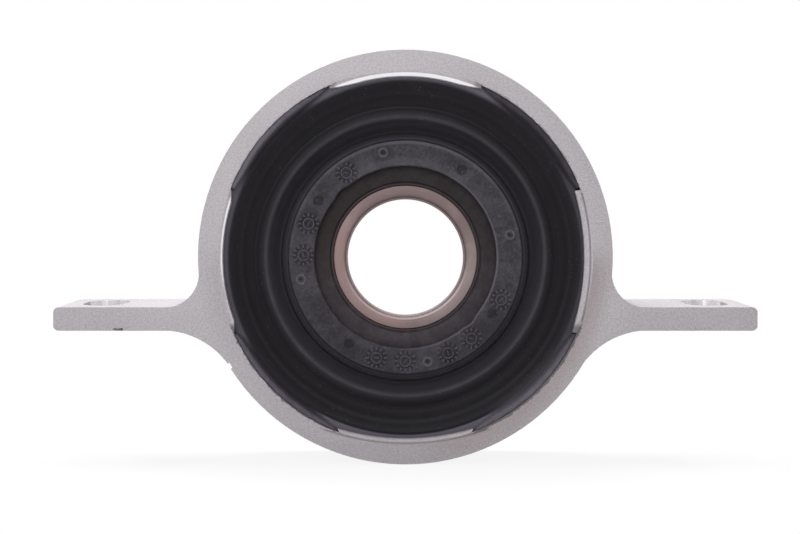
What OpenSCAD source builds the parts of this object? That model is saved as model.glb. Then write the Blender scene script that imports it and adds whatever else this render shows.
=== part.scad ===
// Driveshaft centre bearing. A cast bracket with two slotted wings holds a rubber bush,
// and the bush holds a sealed deep-groove ball bearing in a pressed steel carrier.
// The shaft runs along Y, the front faces -Y and the origin is the middle of the bearing's bore.

/* [Bracket ring] */
// Outside diameter of the ring
ring_d = 102.3; // [100:0.1:110]
// Length of the ring along the shaft
ring_len = 27; // [26:0.5:34]
// Distance from the bearing's middle forward to the ring's front face
ring_front = 15; // [14.5:0.1:16]
// Radial thickness of the ring around the rubber bush
ring_wall = 4.85; // [4:0.05:5.5]
// Chamfer at the rear edge of the seat
seat_chamfer = 0.8; // [0.3:0.1:1.5]

/* [Front lips] */
// Reach of the right lip inward from the seat, in its middle
lip_right = 2; // [1.2:0.05:2.3]
// Reach of the top lip
lip_top = 1.5; // [1.2:0.05:2.3]
// Reach of the left lip
lip_left = 0.95; // [0.8:0.05:2.3]
// Reach of the bottom lip
lip_low = 1.4; // [1.2:0.05:2.3]
// Distance that the lips' flat arcs are centred beyond the shaft's axis
lip_centre = 14; // [6:0.5:18]
// Length of the lips along the shaft
lip_len = 2.4; // [2.2:0.1:2.8]
// Distance from the seat in to the front edge of the lips' bevels
lip_edge = 0.5; // [0.3:0.05:0.7]
// Angle of those bevels from the front face
lip_slope = 32; // [20:1:45]
// Angle from level to the middle of the upper notches
notch_up = 43.5; // [40:0.5:48]
// Angle from level to the middle of the lower notches
notch_down = 46.5; // [42:0.5:50]
// Angular width of each notch at the seat
notch_span = 45; // [36:0.5:50]
// Angle over which the top and bottom lips run out at each end
ramp_end = 3.2; // [0.5:0.1:5]
// Angle over which the side lips run out at each end
ramp_side = 0.6; // [0.2:0.1:3]

/* [Wings] */
// Overall width across both wings
span = 173.7; // [168:0.1:184]
// Distance from the shaft's axis down to the wings' top edge at the front
wing_drop = 12.4; // [8:0.1:16]
// Thickness of the wings at the front
wing_t = 5.8; // [4.5:0.1:8]
// Length of the wings along the shaft
wing_len = 27; // [24:0.5:34]
// Rise of the wings' top face towards the rear, in degrees
wing_draft = 2.7; // [0.5:0.1:4]
// Radius of the fillet between the ring and each wing's top
fillet_top = 8.6; // [6:0.1:11]
// Radius of the fillet between the ring and each wing's underside
fillet_low = 20.4; // [14:0.1:24]
// Radius of the wing ends' upper corners, seen from the front
end_r = 1.3; // [0.5:0.1:2]
// Radius of their lower corners
end_low_r = 1.6; // [0.5:0.1:2]
// Radius of the wings' rear corners, seen from above
rear_r = 5; // [2:0.1:7]
// Distance from each wing's end in to the middle of its bolt slot
slot_inset = 10.35; // [9:0.05:12]
// Width of each bolt slot
slot_w = 10.5; // [8:0.1:12]
// Length of each bolt slot along the shaft
slot_len = 18; // [14:0.1:20]
// Distance from the wings' front face back to the slots' middle
slot_back = 14.2; // [13:0.1:15]

/* [Bearing] */
// Diameter of the shaft's bore
bore_d = 30; // [29:0.1:31]
// Outside diameter of the bearing
bearing_d = 55; // [54.4:0.1:55.4]
// Width of the bearing as a share of the difference between its two diameters
width_share = 0.52; // [0.51:0.01:0.56]
// Diameter of a ball as a share of the difference between the bearing's two diameters
ball_share = 0.28576; // [0.27:0.001:0.29]
// Room between a ball and each raceway
ball_gap = 0.05; // [0.02:0.01:0.1]
// Raceway groove radius as a share of the ball's diameter
groove_share = 0.52; // [0.51:0.005:0.54]
// Distance of the shoulders from the balls' circle as a share of the ball's diameter
shoulder_share = 0.32; // [0.29:0.01:0.34]
// Step from the inner ring's shoulders down to the land beside each seal
land_step = 0.95; // [0.7:0.05:1.1]
// Chamfer at the ends of the bore
bore_chamfer = 0.7; // [0.3:0.05:0.9]
// Chamfer at the outer edges of the inner ring
land_chamfer = 0.3; // [0.1:0.05:0.5]
// Chamfer at the outer ring's corners
outer_chamfer = 0.8; // [0.3:0.05:1]

/* [Seals] */
// Depth of the seal's seat outside the outer ring's shoulder
seal_seat = 1.2; // [0.8:0.05:1.4]
// Room between the seal's lip and the inner ring
lip_room = 0.25; // [0.15:0.05:0.4]
// Radial width of the seal's lip
seal_lip_w = 0.4; // [0.25:0.05:0.5]
// Radial width of the groove between the lip and the seal's face
seal_groove_w = 0.4; // [0.25:0.05:0.6]
// Depth of that groove
seal_groove_depth = 0.6; // [0.3:0.05:0.8]
// Thickness of the seals
seal_t = 1.35; // [1:0.05:1.4]
// Distance of the seals' outer face behind the bearing's end face
seal_sink = 0.4; // [0.2:0.05:0.5]
// Room between a seal and the inner ring's shoulder behind it
seal_back_gap = 0.15; // [0.1:0.05:0.3]

/* [Cage] */
// Thickness of the cage's sheet
cage_t = 0.8; // [0.5:0.05:0.9]
// Radial width of the cage's ribbon
cage_w = 3.1; // [2.4:0.1:3.4]
// Room between a ball and its pocket
pocket_gap = 0.12; // [0.06:0.02:0.16]
// Diameter of a rivet's shank
rivet_d = 1.1; // [0.8:0.1:1.4]
// Diameter of a rivet's heads
rivet_head_d = 1.9; // [1.6:0.1:2.4]
// Height of a rivet's heads
rivet_head_h = 0.4; // [0.2:0.05:0.6]

/* [Carrier] */
// Sheet thickness of the bearing carrier
carrier_t = 1.2; // [0.8:0.1:1.3]
// Reach of the carrier's front flange inward from the bearing's outside
flange_reach = 4.1; // [2.6:0.1:4.3]
// Reach of the carrier's rolled rear lip inward from the bearing's outside
roll_reach = 1.1; // [0.9:0.1:2]

/* [Rubber bush] */
// Overhang of the flat face's edge beyond the carrier
face_over = 0.55; // [0.4:0.05:1]
// Lap of the flat face past the carrier's flange towards the shaft
face_lap = 0.55; // [0.3:0.05:1]
// Rubber thickness over the carrier's flange
skin_t = 1.25; // [0.8:0.05:1.6]
// Room between the rubber and the carrier, where they are bonded
bond_gap = 0.05; // [0.02:0.01:0.1]
// Place of the deep channel as a share of the way from the flat face out to the rim
channel_share = 0.165; // [0.14:0.005:0.2]
// Depth of the channel behind the flat face
channel_depth = 4.2; // [3:0.1:6.5]
// Place of the bellows' crest as a share of the same way
crest_share = 0.42; // [0.39:0.005:0.45]
// Height of the crest in front of the flat face
crest_rise = 0.4; // [-0.5:0.1:1.5]
// Place of the shallow valley outside the crest as a share of the same way
valley_share = 0.565; // [0.54:0.005:0.59]
// Depth of that valley behind the crest
valley_depth = 0.8; // [0.4:0.1:2.6]
// Place of the faint ridge on the outer skirt as a share of the same way
ridge_share = 0.805; // [0.78:0.005:0.83]
// Height of the ridge in front of the valley
ridge_rise = 2.2; // [1.8:0.1:2.9]
// Place of the faint dip between the ridge and the rim as a share of the same way
dip_share = 0.875; // [0.86:0.005:0.9]
// Height of the dip in front of the ridge
dip_rise = 0.25; // [0.1:0.05:0.5]
// Thickness of the rubber along the shaft at the crest and the valley
wall_t = 2.6; // [2.2:0.1:3]
// Radial thickness of the rim behind the lips
rim_front_t = 2.85; // [2.5:0.05:3.4]
// Radial thickness of the rim at its rear edge
rim_t = 3; // [2.4:0.1:3.6]
// Distance of the rim's rear end in front of the ring's rear face
rim_sink = 1.2; // [0.8:0.1:3]
// Radial width of the tabs' flat face
tab_w = 1.35; // [0.8:0.05:1.6]
// Radial width of the slope from the rim up to that face
tab_foot = 0.75; // [0.4:0.05:0.9]
// Distance of the tabs' face behind the ring's front face
tab_sink = 0.4; // [0.1:0.1:0.8]
// Room between a tab and the lips beside it
tab_gap = 0.08; // [0.02:0.02:0.2]

/* [Moulding marks] */
// Angle of the first of the round pin marks on the flat face, seen from the front
pin_first = 12; // [0:0.5:45]
// Distance of the pin marks from the opening's edge
pin_inset = 3.15; // [2:0.05:4]
// Diameter of a pin mark's recess
pin_d = 1.8; // [1:0.1:2.4]
// Depth of the recess
pin_depth = 0.35; // [0.1:0.05:0.6]
// Diameter of the raised rim around the recess
pin_rim_d = 2.7; // [2:0.1:3.2]
// Height of that rim
pin_rim_h = 0.15; // [0.05:0.05:0.3]
// Depth of the four notches in the opening's edge
notch_bite = 0.5; // [0.2:0.1:1]
// Radius of the notches' round bottom
notch_r = 4; // [2:0.5:8]

/* [Casting nick] */
// Angle of the nick on the ring, seen from the front
nick_angle = 211.8; // [205:0.1:230]
// Width of the nick around the ring
nick_w = 1.4; // [0.8:0.1:2.4]
// Depth of the nick
nick_depth = 0.5; // [0.2:0.05:0.8]
// Length of the nick along the shaft
nick_len = 6; // [2:0.5:12]

/* [Hidden] */
$fn = 96;

alloy = [0.70, 0.67, 0.68];
black = [0.11, 0.11, 0.12];
steel = [0.66, 0.58, 0.57];
bright = [0.80, 0.80, 0.82];
seal_black = [0.16, 0.14, 0.14];

ring_r = ring_d / 2;
seat_r = ring_r - ring_wall;
front_y = -ring_front;
rear_y = front_y + ring_len;
lip_back_y = front_y + lip_len;
wing_top = -wing_drop;
wing_low = wing_top - wing_t;
wing_rear_y = front_y + wing_len;
wing_rise = wing_len * tan(wing_draft);
slot_x = span / 2 - slot_inset;
slot_y = front_y + slot_back;
// How far the fillets cut into the ring and the wings, so that they cross them cleanly
fillet_bite = 0.12;
// Share of a length at which a piece lies well inside its neighbour
inside_share = 0.9;
// How far a cutter reaches past the face that it cuts
over = 1;

ball_count = 11;
ball_d = ball_share * (bearing_d - bore_d);
ball_r = ball_d / 2;
pitch_r = (bearing_d + bore_d) / 4;
bearing_w = width_share * (bearing_d - bore_d);
half_w = bearing_w / 2;
bearing_r = bearing_d / 2;
inner_shoulder_r = pitch_r - shoulder_share * ball_d;
outer_shoulder_r = pitch_r + shoulder_share * ball_d;
land_r = inner_shoulder_r - land_step;
groove_r = groove_share * ball_d;
inner_groove_at = pitch_r - ball_r - ball_gap + groove_r;
outer_groove_at = pitch_r + ball_r + ball_gap - groove_r;
seal_r = outer_shoulder_r + seal_seat;
seal_out_y = half_w - seal_sink;
seal_in_y = seal_out_y - seal_t;
shoulder_y = seal_in_y - seal_back_gap;

carrier_r = bearing_r + carrier_t;
flange_r = bearing_r - flange_reach;
roll_r = bearing_r - roll_reach;
flange_y = -half_w - carrier_t;
bond_r = carrier_r + bond_gap;
skin_back_y = flange_y - bond_gap;
face_y = skin_back_y - skin_t;
face_r = bond_r + face_over;
opening_r = flange_r - face_lap;
rim_in_r = seat_r - rim_front_t;
channel_y = face_y + channel_depth;
crest_y = face_y - crest_rise;
valley_y = crest_y + valley_depth;
ridge_y = valley_y - ridge_rise;
dip_y = ridge_y - dip_rise;
rim_end_y = rear_y - rim_sink;
tab_y = front_y + tab_sink;
// Chamfer of the rubber's edges
edge = 0.4;
pin_count = 8;

// Points from a towards b along half a cosine wave, level at both ends
function wave(a, b, steps = 7) = [
    for (i = [0 : steps - 1])
        let (t = i / steps)
        [a[0] + (b[0] - a[0]) * t, a[1] + (b[1] - a[1]) * (1 - cos(180 * t)) / 2]
];

// Radius at a share of the way from the flat face out to the rim
function at_share(share) = face_r + share * (rim_in_r - face_r);

// Point at a radius and an angle from +X, seen from the front
function polar(r, angle) = [r * cos(angle), r * sin(angle)];

// Angle of a ball from +X, the first one at the top
function ball_angle(i) = 90 + i * 360 / ball_count;

// Turns a profile of radius and place along the shaft about the shaft's axis
module turned() {
    rotate([-90, 0, 0])
        rotate_extrude()
            children();
}

// Pushes an outline that is seen from the front through from y0 to y1
module pushed(y0, y1) {
    translate([0, y1, 0])
        rotate([90, 0, 0])
            linear_extrude(y1 - y0)
                children();
}

// Child placed at every ball, or at every gap between balls
module at_balls(offset_angle = 0) {
    for (i = [0 : ball_count - 1])
        rotate([0, -ball_angle(i) - offset_angle, 0])
            translate([pitch_r, 0, 0])
                children();
}

// Web in the corner of the ring and the right wing, hollowed by a fillet that blends into both.
// up is 1 above the wing and -1 below it, and rise is how much the wing's face climbs to the rear.
module fillet_web(level, r, up, rise) {
    middle = level - up * wing_t / 2;
    z = level + up * (r - fillet_bite);
    x = sqrt(pow(ring_r + r - fillet_bite, 2) - pow(z, 2));
    crown = z + rise / 2;
    inward = inside_share * ring_r / (ring_r + r);
    difference() {
        pushed(front_y, wing_rear_y)
            polygon([[x, middle], [x, crown], [inward * x, inward * crown], [inward * x, middle]]);
        translate([x, front_y, z])
            rotate([atan(rise / wing_len) - 90, 0, 0])
                cylinder(r = r, h = 3 * wing_len, center = true);
    }
}

// Outline of the wings from above, with the rear corners rounded
module wing_plan() {
    half = span / 2;
    corner_x = half - inside_share * rear_r;
    translate([-corner_x, front_y])
        square([2 * corner_x, wing_len]);
    for (side = [-1, 1])
        translate([side * corner_x, wing_rear_y - rear_r])
            circle(rear_r);
    translate([-half - over, front_y])
        square([span + 2 * over, wing_len - rear_r]);
}

// Outline of the wings from the front, deeper than they are, with the upper end corners rounded
module wing_front() {
    half = span / 2;
    translate([-half, -2 * wing_t])
        square([span, 2 * wing_t - end_r]);
    translate([-half + end_r, -2 * wing_t])
        square([span - 2 * end_r, 2 * wing_t]);
    for (side = [-1, 1])
        translate([side * (half - end_r), -end_r])
            circle(end_r);
}

// Outline of the wings from the front, higher than they are, with the lower end corners rounded
module wing_under() {
    half = span / 2;
    corner_x = half - inside_share * end_low_r;
    translate([-half - over, end_low_r])
        square([span + 2 * over, 2 * wing_t]);
    translate([-corner_x, 0])
        square([2 * corner_x, 2 * wing_t]);
    for (side = [-1, 1])
        translate([side * corner_x, end_low_r])
            circle(end_low_r);
}

// Both wings as one plate that passes through the ring, flat below and drafted on top
module wing_plate() {
    intersection() {
        translate([0, 0, wing_low - over])
            linear_extrude(wing_t + wing_rise + 2 * over)
                wing_plan();
        translate([0, 0, wing_low])
            pushed(front_y - over, wing_rear_y + over)
                wing_under();
        translate([0, front_y, wing_top])
            rotate([wing_draft, 0, 0])
                pushed(-wing_len, 2 * wing_len)
                    wing_front();
    }
}

// Outline of one notch between two lips, or of the tab that fills it.
// toward_side is the end nearer to the level line.
module notch_outline(middle, toward_side, gap) {
    half = notch_span / 2 - asin(gap / seat_r);
    side = middle + toward_side * half;
    end = middle - toward_side * half;
    inward = (rim_front_t + edge) / lip_right;
    outward = (ring_r - seat_r) / 2 / lip_right;
    near = seat_r - inward * lip_right;
    far = seat_r + outward * lip_right;
    polygon([
        polar(near, side - toward_side * ramp_side * inward),
        polar(far, side + toward_side * ramp_side * outward),
        polar(far, middle),
        polar(far, end - toward_side * ramp_end * outward),
        polar(near, end + toward_side * ramp_end * inward)
    ]);
}

// The four notches, given as outlines seen from the front
module notches(gap) {
    notch_outline(notch_up, -1, gap);
    notch_outline(180 - notch_up, 1, gap);
    notch_outline(180 + notch_down, -1, gap);
    notch_outline(-notch_down, 1, gap);
}

// Cutter that leaves one staked lip: a flat arc with a bevel, at an angle seen from the front
module lip_cutter(angle, reach) {
    arc_r = lip_centre + seat_r - reach;
    rotate([0, -angle, 0])
        translate([-lip_centre, 0, 0])
            turned()
                polygon([
                    [0, front_y - over],
                    [arc_r + reach - lip_edge, front_y - over],
                    [arc_r + reach - lip_edge, front_y],
                    [arc_r, front_y + (reach - lip_edge) * tan(lip_slope)],
                    [arc_r, lip_back_y],
                    [0, lip_back_y]
                ]);
}

// Cutter for the small nick in the casting's edge at the end of the left lower fillet
module nick() {
    rotate([0, -nick_angle, 0])
        translate([ring_r - nick_depth, front_y - over, -nick_w / 2])
            cube([2 * nick_depth + over, nick_len + over, nick_w]);
}

module bracket() {
    color(alloy)
        difference() {
            union() {
                pushed(front_y, rear_y)
                    circle(ring_r);
                wing_plate();
                for (side = [0, 1])
                    mirror([side, 0, 0]) {
                        fillet_web(wing_top, fillet_top, 1, wing_rise);
                        fillet_web(wing_low, fillet_low, -1, 0);
                    }
            }
            intersection() {
                lip_cutter(0, lip_right);
                lip_cutter(90, lip_top);
                lip_cutter(180, lip_left);
                lip_cutter(270, lip_low);
                pushed(front_y - 2 * over, rear_y)
                    circle(seat_r);
            }
            turned()
                polygon([
                    [0, lip_back_y],
                    [seat_r, lip_back_y],
                    [seat_r, rear_y - seat_chamfer],
                    [seat_r + seat_chamfer, rear_y],
                    [seat_r + seat_chamfer, rear_y + over],
                    [0, rear_y + over]
                ]);
            intersection() {
                pushed(front_y - over, lip_back_y)
                    notches(0);
                pushed(front_y - 2 * over, rear_y)
                    circle(seat_r);
            }
            for (side = [-1, 1])
                translate([side * slot_x, slot_y, wing_low - over])
                    linear_extrude(wing_t + wing_rise + 2 * over) {
                        square([slot_w, slot_len - slot_w], center = true);
                        for (end = [-1, 1])
                            translate([0, end * (slot_len - slot_w) / 2])
                                circle(slot_w / 2);
                    }
            nick();
        }
}

// Section of the bush, radius against place along the shaft
module bush_section() {
    channel_r = at_share(channel_share);
    crest_r = at_share(crest_share);
    valley_r = at_share(valley_share);
    ridge_r = at_share(ridge_share);
    dip_r = at_share(dip_share);
    rear_shift = wall_t / 2;
    rim_r = seat_r - rim_t;
    sleeve_r = bond_r + wall_t / 2;
    polygon(concat(
        [[opening_r, skin_back_y], [opening_r, face_y + edge], [opening_r + edge, face_y]],
        [[face_r - edge, face_y]],
        wave([face_r, face_y + edge], [channel_r, channel_y]),
        wave([channel_r, channel_y], [crest_r, crest_y]),
        wave([crest_r, crest_y], [valley_r, valley_y]),
        [[valley_r, valley_y], [ridge_r, ridge_y], [dip_r, dip_y]],
        [[rim_in_r, lip_back_y], [seat_r, lip_back_y]],
        [[seat_r, rim_end_y - edge], [seat_r - edge, rim_end_y], [rim_r + edge, rim_end_y]],
        [[rim_r, rim_end_y - edge], [ridge_r + rear_shift / 2, ridge_y + wall_t]],
        wave([valley_r, valley_y + wall_t], [crest_r + rear_shift / 2, crest_y + wall_t]),
        wave([crest_r + rear_shift / 2, crest_y + wall_t], [channel_r + rear_shift, channel_y + wall_t]),
        [[channel_r + rear_shift, channel_y + wall_t], [sleeve_r, channel_y + wall_t + edge]],
        [[sleeve_r, half_w - edge], [sleeve_r - edge, half_w], [bond_r, half_w], [bond_r, skin_back_y]]
    ));
}

// Child placed at every pin mark, on the flat face and facing the front
module at_pins() {
    for (i = [0 : pin_count - 1])
        rotate([0, -pin_first - i * 360 / pin_count, 0])
            translate([opening_r + pin_inset, face_y, 0])
                rotate([90, 0, 0])
                    children();
}

module rubber_bush() {
    tab_in_r = seat_r - tab_w - tab_foot;
    color(black)
        difference() {
            union() {
                turned()
                    bush_section();
                intersection() {
                    pushed(tab_y, lip_back_y + edge)
                        notches(tab_gap);
                    turned()
                        polygon([
                            [tab_in_r, lip_back_y],
                            [seat_r - tab_w, tab_y],
                            [seat_r, tab_y],
                            [seat_r, lip_back_y + edge],
                            [tab_in_r, lip_back_y + edge]
                        ]);
                }
                at_pins()
                    translate([0, 0, -pin_depth])
                        cylinder(d = pin_rim_d, h = pin_depth + pin_rim_h);
            }
            at_pins()
                translate([0, 0, -pin_depth])
                    cylinder(d = pin_d, h = 2 * pin_depth + pin_rim_h);
            for (quarter = [0 : 3])
                rotate([0, 45 + 90 * quarter, 0])
                    translate([opening_r + notch_bite - notch_r, 0, 0])
                        pushed(face_y - over, skin_back_y + bond_gap)
                            circle(notch_r);
        }
}

module bearing_carrier() {
    color(bright)
        turned()
            polygon([
                [flange_r, -half_w],
                [flange_r, flange_y],
                [carrier_r - carrier_t / 2, flange_y],
                [carrier_r, flange_y + carrier_t / 2],
                [carrier_r, half_w + carrier_t / 2],
                [carrier_r - carrier_t / 2, half_w + carrier_t],
                [roll_r, half_w + carrier_t],
                [roll_r, half_w],
                [bearing_r, half_w],
                [bearing_r, -half_w]
            ]);
}

module bearing_outer_ring() {
    color(steel)
        turned()
            difference() {
                polygon([
                    [bearing_r - outer_chamfer, -half_w],
                    [bearing_r, -half_w + outer_chamfer],
                    [bearing_r, half_w - outer_chamfer],
                    [bearing_r - outer_chamfer, half_w],
                    [seal_r, half_w],
                    [seal_r, seal_in_y],
                    [outer_shoulder_r, seal_in_y],
                    [outer_shoulder_r, -seal_in_y],
                    [seal_r, -seal_in_y],
                    [seal_r, -half_w]
                ]);
                translate([outer_groove_at, 0])
                    circle(groove_r);
            }
}

module bearing_inner_ring() {
    bore_r = bore_d / 2;
    color(steel)
        turned()
            difference() {
                polygon([
                    [bore_r, -half_w + bore_chamfer],
                    [bore_r + bore_chamfer, -half_w],
                    [land_r - land_chamfer, -half_w],
                    [land_r, -half_w + land_chamfer],
                    [land_r, -shoulder_y],
                    [inner_shoulder_r, -shoulder_y],
                    [inner_shoulder_r, shoulder_y],
                    [land_r, shoulder_y],
                    [land_r, half_w - land_chamfer],
                    [land_r - land_chamfer, half_w],
                    [bore_r + bore_chamfer, half_w],
                    [bore_r, half_w - bore_chamfer]
                ]);
                translate([inner_groove_at, 0])
                    circle(groove_r);
            }
}

module ball(i) {
    color(bright)
        rotate([0, -ball_angle(i), 0])
            translate([pitch_r, 0, 0])
                rotate([90, 0, 0])
                    sphere(ball_r);
}

// Half of the ribbon cage: flat between the balls and domed over each one. side is -1 or 1.
module cage_half(side) {
    low_r = pitch_r - cage_w / 2;
    high_r = pitch_r + cage_w / 2;
    pocket_r = ball_r + pocket_gap;
    color(bright)
        difference() {
            intersection() {
                union() {
                    turned()
                        translate([low_r - over, side > 0 ? 0 : -cage_t])
                            square([cage_w + 2 * over, cage_t]);
                    at_balls()
                        rotate([0, 90, 0])
                            cylinder(r = pocket_r + cage_t, h = 2 * cage_w, center = true);
                }
                turned()
                    translate([low_r, side > 0 ? 0 : -half_w])
                        square([cage_w, half_w]);
            }
            at_balls()
                rotate([0, 90, 0])
                    cylinder(r = pocket_r, h = 3 * cage_w, center = true);
            at_balls(180 / ball_count)
                rotate([90, 0, 0])
                    cylinder(d = rivet_d, h = bearing_w, center = true);
        }
}

module cage_rivets() {
    color(bright)
        at_balls(180 / ball_count)
            rotate([90, 0, 0]) {
                cylinder(d = rivet_d, h = 2 * cage_t, center = true);
                for (side = [0, 1])
                    mirror([0, 0, side])
                        translate([0, 0, cage_t])
                            cylinder(d = rivet_head_d, h = rivet_head_h);
            }
}

// Lip seal set in the step of the outer ring. side is -1 at the front and 1 at the rear.
module seal(side) {
    lip_in_r = land_r + lip_room;
    lip_out_r = lip_in_r + seal_lip_w;
    face_in_r = lip_out_r + seal_groove_w;
    lip_y = seal_out_y - edge / 2;
    color(seal_black)
        mirror([0, side > 0 ? 0 : 1, 0])
            turned()
                polygon([
                    [seal_r, seal_in_y],
                    [seal_r, seal_out_y],
                    [face_in_r, seal_out_y],
                    [face_in_r, seal_out_y - seal_groove_depth],
                    [lip_out_r, seal_out_y - seal_groove_depth],
                    [lip_out_r, lip_y],
                    [lip_in_r, lip_y],
                    [lip_in_r, seal_in_y]
                ]);
}

bracket();
rubber_bush();
bearing_carrier();
bearing_outer_ring();
bearing_inner_ring();
for (i = [0 : ball_count - 1])
    ball(i);
cage_half(-1);  // cage_front
cage_half(1);  // cage_rear
cage_rivets();
seal(-1);  // seal_front
seal(1);  // seal_rear
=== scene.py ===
# %% [markdown]
# # A driveshaft centre bearing
#
# A cast alloy bracket with two slotted wings holds a moulded rubber bush, and the bush holds a
# sealed ball bearing. The CAD solids give every piece its place. This lesson dresses them: edges
# are softened, the rubber gets its folds and moulding marks, and each surface gets a finish.

# %% Load the CAD frame
import math

import bmesh
import bpy
from mathutils import Matrix, Vector, noise


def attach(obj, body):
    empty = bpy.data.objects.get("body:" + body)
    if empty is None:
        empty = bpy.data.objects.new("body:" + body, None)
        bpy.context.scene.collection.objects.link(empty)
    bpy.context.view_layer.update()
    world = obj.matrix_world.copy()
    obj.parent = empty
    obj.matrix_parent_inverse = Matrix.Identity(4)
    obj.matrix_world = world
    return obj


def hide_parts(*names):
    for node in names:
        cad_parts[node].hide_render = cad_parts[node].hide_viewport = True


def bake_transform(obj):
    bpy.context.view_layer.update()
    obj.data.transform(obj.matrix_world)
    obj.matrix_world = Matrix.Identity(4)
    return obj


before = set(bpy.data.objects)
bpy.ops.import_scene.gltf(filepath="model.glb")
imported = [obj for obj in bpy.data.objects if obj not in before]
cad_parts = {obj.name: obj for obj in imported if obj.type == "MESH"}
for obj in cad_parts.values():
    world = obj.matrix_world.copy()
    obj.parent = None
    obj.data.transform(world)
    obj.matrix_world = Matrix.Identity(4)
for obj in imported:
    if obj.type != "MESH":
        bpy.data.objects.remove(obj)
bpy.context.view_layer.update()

# %% [markdown]
# ## Working in millimetres
#
# The frame is in metres, and a bearing is easier to think about in millimetres, so every size here is
# in millimetres and one factor turns it into metres. Every round piece turns about the shaft's axis,
# which is the Y axis, with the front towards -Y, so a point is mostly asked how far it is from the
# shaft and at which angle. A piece is finished the same way each time: the mesh goes into an object
# that stays at the origin, its faces are smooth, and edges sharper than a given angle stay crisp.

# %% Units and the last step of every piece
MM = 0.001
SHAFT_AXIS = (0.0, 1.0, 0.0)


def around_shaft(place):
    """Distance from the shaft in millimetres, and angle from +X towards +Z in degrees."""
    return math.hypot(place.x, place.z) / MM, math.degrees(math.atan2(place.z, place.x))


def put_in_scene(bm, name, crisp_angle):
    """Makes an object of a bmesh, smooth up to the crisp angle in degrees."""
    mesh = bpy.data.meshes.new(name)
    bm.to_mesh(mesh)
    bm.free()
    mesh.polygons.foreach_set("use_smooth", [True] * len(mesh.polygons))
    mesh.set_sharp_from_angle(angle=math.radians(crisp_angle))
    piece = bpy.data.objects.new(name, mesh)
    bpy.context.scene.collection.objects.link(piece)
    triangles = sum(len(face.vertices) - 2 for face in mesh.polygons)
    print(name, "has", triangles, "triangles")
    return piece


# %% [markdown]
# ## The casting
#
# The bracket is one pressure die casting: a ring, two wings with bolt slots, and four staked lips
# that hold the rubber in. It could be built again from a spun ring and extruded wings, but the CAD
# solid already has every face in place. What it lacks is what a real casting always has, edges that
# are a little round. So a copy of its mesh is welded, its flat faces are joined, and every sharp edge
# is bevelled. The bevels catch the light as the thin pale lines around the ring do.

# %% Bevel a welded copy of the bracket
WELD = 0.0005
FLAT_ANGLE, SHARP_ANGLE = 0.2, 30
EDGE_ROUND = 0.4

metal = bmesh.new()
metal.from_mesh(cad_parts["bracket"].data)
bmesh.ops.remove_doubles(metal, verts=metal.verts, dist=WELD * MM)
bmesh.ops.dissolve_limit(
    metal, angle_limit=math.radians(FLAT_ANGLE), verts=metal.verts, edges=metal.edges, delimit=set()
)
sharp = [
    edge for edge in metal.edges
    if edge.is_manifold and edge.calc_face_angle() > math.radians(SHARP_ANGLE)
]
rounded = bmesh.ops.bevel(
    metal, geom=sharp, offset=EDGE_ROUND * MM, offset_type="OFFSET", affect="EDGES",
    segments=3, profile=0.5, material=-1, clamp_overlap=True, loop_slide=True,
)
rounded_faces = set(rounded["faces"])
print("edges of the casting rounded:", len(sharp))

# %% [markdown]
# ## Painted light on the casting
#
# Blasting leaves the flat faces dull. Three places are painted brighter: the rounded edges, rubbed
# bright where they rub against other parts in a box and partly a painted highlight, the walls of the
# bolt slots, as painted light that bounces up through the slots, and the lips' bevels, as painted
# highlights. The top and the left lip are brightest, and the bottom one is painted darker. They could
# be painted by hand, but the shape itself tells where they are, so each face of the mesh keeps a number,
# above zero for painted light and below zero for darker, which the finish reads later. A lip's edge is
# a flat arc about a point beyond the shaft, so the distance from that point tells what lies on its
# bevel.

# %% Note the painted light on the casting's faces
# Painted highlights on the lips and edges, and painted bounce light on the slot walls
LIP_PAINTED_LIGHT = {0: 0.1, 90: 1.05, 180: 0.85, 270: -0.2}
LIP_ZONE_R, LIP_ZONE_AT = 46.25, -12.7
LIP_CENTRE, LIP_BEVEL_R = 14.0, 59.72
SLOT_AT, SLOT_REACH, SLOT_FRONT = 76.5, 5.2, -14.0
SLOT_WALL_BOUNCE, SLOT_SIDE_BOUNCE = 0.8, 0.4
EDGE_RUB_AND_HIGHLIGHT = 0.45
FRONT_NORMAL, SIDE_NORMAL, LEVEL_NORMAL = -0.985, 0.95, 0.5


def nearest_lip(angle):
    """The angle of the nearest lip: 0 is right, 90 top, 180 left and 270 bottom."""
    return round(angle / 90) * 90 % 360


def on_lip_bevel(middle, lip):
    """Whether a place lies within the arc of a lip's bevel."""
    turn = math.radians(lip)
    arc_x = middle.x / MM + LIP_CENTRE * math.cos(turn)
    arc_z = middle.z / MM + LIP_CENTRE * math.sin(turn)
    return math.hypot(arc_x, arc_z) < LIP_BEVEL_R


def painted_light_of(face):
    """How much painted light a face of the casting gets, below zero where it is painted darker."""
    middle = face.calc_center_median()
    radius, angle = around_shaft(middle)
    place = middle.y / MM
    if radius < LIP_ZONE_R and place < LIP_ZONE_AT and face.normal.y >= FRONT_NORMAL:
        lip = nearest_lip(angle)
        return LIP_PAINTED_LIGHT[lip] if on_lip_bevel(middle, lip) else 0.0
    by_slot = abs(abs(middle.x / MM) - SLOT_AT) < SLOT_REACH and place > SLOT_FRONT
    if by_slot and abs(face.normal.z) < LEVEL_NORMAL:
        return SLOT_WALL_BOUNCE if abs(face.normal.y) < SIDE_NORMAL else SLOT_SIDE_BOUNCE
    return EDGE_RUB_AND_HIGHLIGHT if face in rounded_faces else 0.0


# The painted light of each face, kept for the finish
painted_light = metal.faces.layers.float.new("painted_light")
for face in metal.faces:
    face[painted_light] = painted_light_of(face)
print("faces that aren't plain:", sum(face[painted_light] != 0 for face in metal.faces))

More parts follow.
